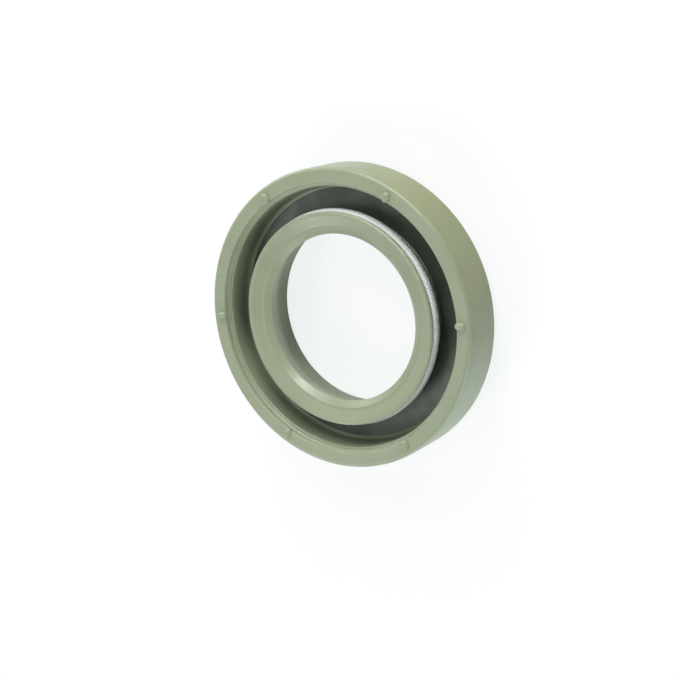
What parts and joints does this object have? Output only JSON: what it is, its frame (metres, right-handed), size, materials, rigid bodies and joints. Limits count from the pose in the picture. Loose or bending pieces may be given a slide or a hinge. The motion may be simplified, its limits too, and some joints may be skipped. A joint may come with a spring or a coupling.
{
  "type": "radial shaft seal",
  "caption": "Ring-shaped radial shaft seal: rubber-covered steel case, a sealing lip held to the shaft by a garter spring, and small spacing pips on the front rim.",
  "frame": {"origin": "centre of the flat back face, which is the lowest plane", "axes": "+Z along the seal's axis from the back towards the spring side; +X through one of the spacing pips"},
  "size_m": [0.038, 0.038, 0.0074],
  "materials": {
    "olive_rubber": "moulded fluoroelastomer, olive grey, satin",
    "coated_steel": "pressed mild steel with a dark grey phosphate coat",
    "spring_steel": "bright drawn spring wire"
  },
  "bodies": {
    "root": {"seal_body": "olive_rubber", "metal_case": "coated_steel", "garter_spring": "spring_steel"}
  },
  "joints": []
}
